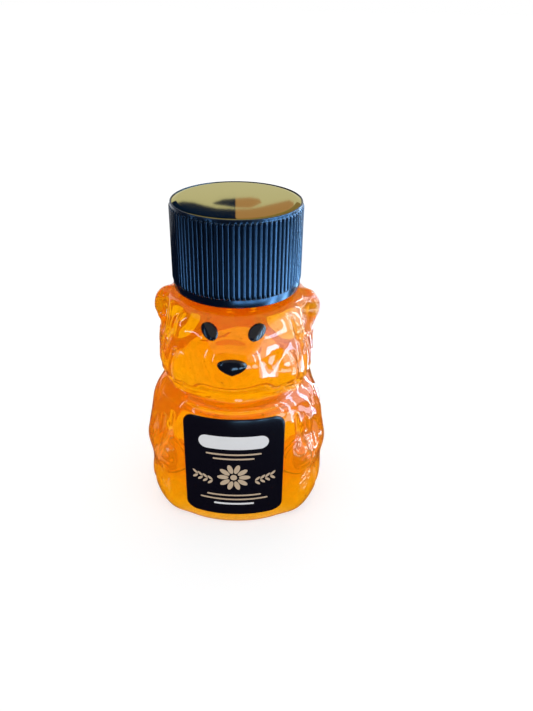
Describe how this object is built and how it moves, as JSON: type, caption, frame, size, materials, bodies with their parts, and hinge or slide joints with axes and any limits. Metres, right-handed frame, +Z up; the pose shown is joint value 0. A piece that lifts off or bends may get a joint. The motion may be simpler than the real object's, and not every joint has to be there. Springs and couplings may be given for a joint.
{
  "type": "honey bear bottle",
  "caption": "Small clear squeezable honey bottle shaped as a sitting bear, filled, with a ribbed black screw cap as its hat.",
  "frame": {"origin": "middle of the flat base, under the axis of the neck, on the surface that the bottle stands on", "axes": "+Z up along the neck and cap axis, the bear looks along -Y, +X is the bear's own left"},
  "size_m": [0.0414, 0.0368, 0.071],
  "materials": {
    "clear_plastic": "clear gloss",
    "honey": "clear amber",
    "black_paint": "gloss",
    "label_film": "satin",
    "black_plastic": "satin",
    "gold_foil": "mirror",
    "liner_foam": "matte"
  },
  "bodies": {
    "bottle": {"bottle_shell": "clear_plastic", "honey_fill": "honey", "eye_left": "black_paint", "eye_right": "black_paint", "nose": "black_paint", "label": "label_film"},
    "liner": {"cap_liner": "liner_foam"},
    "cap": {"cap_shell": "black_plastic", "cap_top_disc": "gold_foil"}
  },
  "joints": [
    {"name": "cap_lift", "type": "slide", "parent": "bottle", "child": "liner", "axis": [0, 0, 1], "range_m": [0, 0.01905]},
    {"name": "cap_turn", "type": "hinge", "parent": "liner", "child": "cap", "pos_m": [0, 0, 0.0685], "axis": [0, 0, 1], "range_deg": [0, 2160]}
  ],
  "couplings": [
    {"joint": "cap_lift", "follows": "cap_turn", "m_per_rad": 0.00050532}
  ]
}
